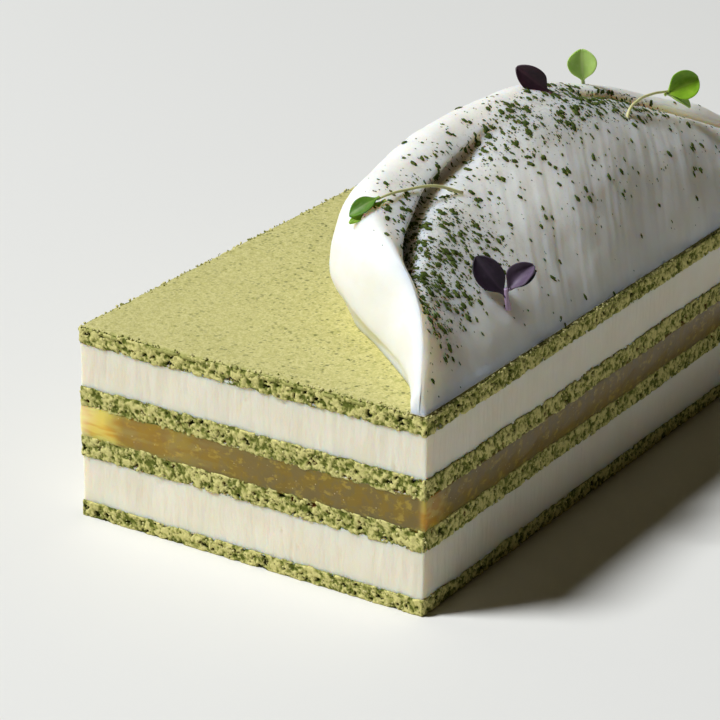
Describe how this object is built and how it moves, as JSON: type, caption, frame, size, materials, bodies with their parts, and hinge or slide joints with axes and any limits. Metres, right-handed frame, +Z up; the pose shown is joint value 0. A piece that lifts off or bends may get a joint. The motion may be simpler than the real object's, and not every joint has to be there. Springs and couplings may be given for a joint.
{
  "type": "green tea layer cake slice",
  "caption": "Rectangular slice of layered green tea sponge, cream and fruit jelly, topped with a swept wave of whipped cream and small sprouts; a dessert portion.",
  "frame": {"origin": "centre of the slice's flat base, under the middle of its box", "axes": "+Z up, +X along the slice away from its near cut end, +Y across it away from the side that the cream runs along"},
  "size_m": [0.134, 0.066, 0.0654],
  "materials": {
    "sponge": "open green tea sponge crumb, dry and matt, with darker pores and green powder on top",
    "cream_filling": "smooth ivory cream cut by a knife, soft sheen, faint drag marks",
    "fruit_jelly": "cloudy amber fruit jelly, moist and slightly glossy",
    "whipped_cream": "whipped cream swept with a spoon, soft sheen, dusted with green tea powder",
    "purple_leaf": "dark purple seedling leaf, satin",
    "green_leaf": "fresh green seedling leaf, satin",
    "pale_green_leaf": "pale green seedling leaf with light through it, satin"
  },
  "bodies": {
    "root": {"sponge_base": "sponge", "cream_lower": "cream_filling", "sponge_lower": "sponge", "jelly_layer": "fruit_jelly", "sponge_upper": "sponge", "cream_upper": "cream_filling", "sponge_top": "sponge", "whipped_cream": "whipped_cream", "purple_sprout_front": "purple_leaf", "purple_sprout_crest": "purple_leaf", "green_sprout_lip": "green_leaf", "green_leaf_back": "pale_green_leaf", "green_sprout_far": "green_leaf"}
  },
  "joints": []
}
